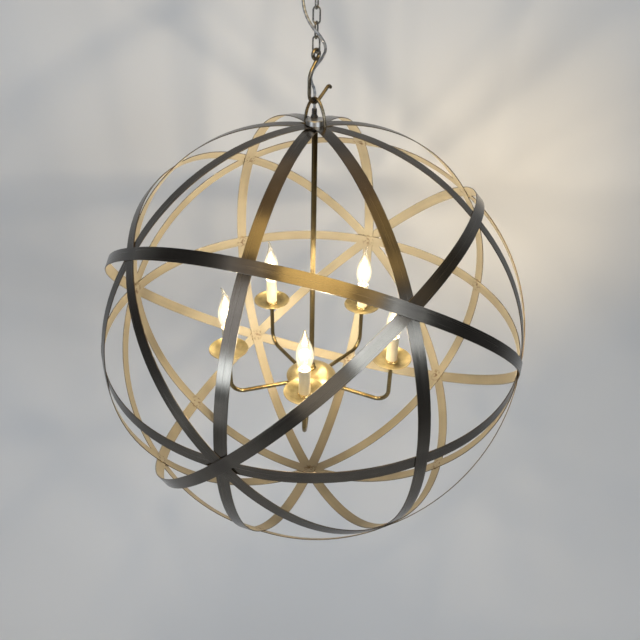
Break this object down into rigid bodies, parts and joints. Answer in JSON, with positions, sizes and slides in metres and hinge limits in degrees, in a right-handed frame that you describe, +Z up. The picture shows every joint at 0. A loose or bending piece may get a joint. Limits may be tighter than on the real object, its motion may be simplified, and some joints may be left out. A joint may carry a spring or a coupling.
{
  "type": "orb chandelier",
  "caption": "Open sphere of crossed flat metal hoops round a hub with upturned arms, drip pans and candle lights, hung by a bail, hook and chain from a ceiling canopy.",
  "frame": {"origin": "centre of the ceiling face of the canopy and of the crossbar's two-hole pattern", "axes": "+Z up to the ceiling along the rod and the chain; the first square hoop lies in the plane square to X, the second square to Y"},
  "size_m": [0.766, 0.766, 1.0274],
  "materials": {
    "band_metal": "brushed dark bronze outside, champagne gold inside",
    "dark_bronze": "satin dark bronze",
    "steel": "satin",
    "antique_brass": "satin antique",
    "ivory_sleeve": "satin",
    "black_plastic": "satin",
    "bulb_brass": "plated",
    "bulb_glass": "clear, lit",
    "cord_jacket": "translucent silver"
  },
  "bodies": {
    "ceiling_mount": {"ceiling_canopy": "dark_bronze", "mounting_crossbar": "steel", "crossbar_nut": "steel", "mounting_pipe": "steel", "canopy_loop": "dark_bronze", "cord_bushing": "black_plastic", "power_cord": "cord_jacket"},
    "chain_link_1": {"chain_link_1": "dark_bronze"},
    "chain_link_2": {"chain_link_2": "dark_bronze"},
    "chain_link_3": {"chain_link_3": "dark_bronze"},
    "chain_link_4": {"chain_link_4": "dark_bronze"},
    "chain_link_5": {"chain_link_5": "dark_bronze"},
    "hanging_hook": {"hook": "dark_bronze"},
    "orb": {"hanging_bail": "dark_bronze", "top_hub": "steel", "strain_relief": "black_plastic", "rod_lock_nut": "steel", "weld_tacks": "steel", "centre_rod": "antique_brass", "rod_collar": "antique_brass", "collar_set_screw": "steel", "hub_dome": "antique_brass", "hub_body": "antique_brass", "hub_base_plate": "antique_brass", "hub_bottom_knob": "antique_brass", "candle_cups": "antique_brass", "drip_pans": "antique_brass", "candle_sleeves": "ivory_sleeve", "candle_sockets": "black_plastic", "bulb_bases": "bulb_brass", "bulb_glass": "bulb_glass", "arm_1": "antique_brass", "arm_2": "antique_brass", "arm_3": "antique_brass", "arm_4": "antique_brass", "arm_5": "antique_brass", "hoop_meridian_x": "band_metal", "hoop_meridian_y": "band_metal", "hoop_equator": "band_metal", "hoop_upright_right": "band_metal", "hoop_upright_left": "band_metal", "hoop_slanted_right": "band_metal", "hoop_slanted_left": "band_metal", "hoop_tilted_front": "band_metal", "hoop_tilted_back": "band_metal"}
  },
  "joints": [
    {"name": "chain_link_1_swing", "type": "hinge", "parent": "ceiling_mount", "child": "chain_link_1", "pos_m": [0, 0, -0.056], "axis": [0, 1, 0], "range_deg": [-15, 15], "deforming": ["power_cord"]},
    {"name": "chain_link_2_swing", "type": "hinge", "parent": "chain_link_1", "child": "chain_link_2", "pos_m": [0, 0, -0.0753], "axis": [1, 0, 0], "range_deg": [-15, 15]},
    {"name": "chain_link_3_swing", "type": "hinge", "parent": "chain_link_2", "child": "chain_link_3", "pos_m": [0, 0, -0.0953], "axis": [0, 1, 0], "range_deg": [-15, 15]},
    {"name": "chain_link_4_swing", "type": "hinge", "parent": "chain_link_3", "child": "chain_link_4", "pos_m": [0, 0, -0.1153], "axis": [1, 0, 0], "range_deg": [-15, 15]},
    {"name": "chain_link_5_swing", "type": "hinge", "parent": "chain_link_4", "child": "chain_link_5", "pos_m": [0, 0, -0.1353], "axis": [0, 1, 0], "range_deg": [-15, 15]},
    {"name": "hook_swing", "type": "hinge", "parent": "chain_link_5", "child": "hanging_hook", "pos_m": [0, 0, -0.1553], "axis": [1, 0, 0], "range_deg": [-15, 15]},
    {"name": "orb_swing", "type": "hinge", "parent": "hanging_hook", "child": "orb", "pos_m": [0, 0, -0.22745], "axis": [0.3827, 0.9239, 0], "range_deg": [-15, 15]}
  ]
}
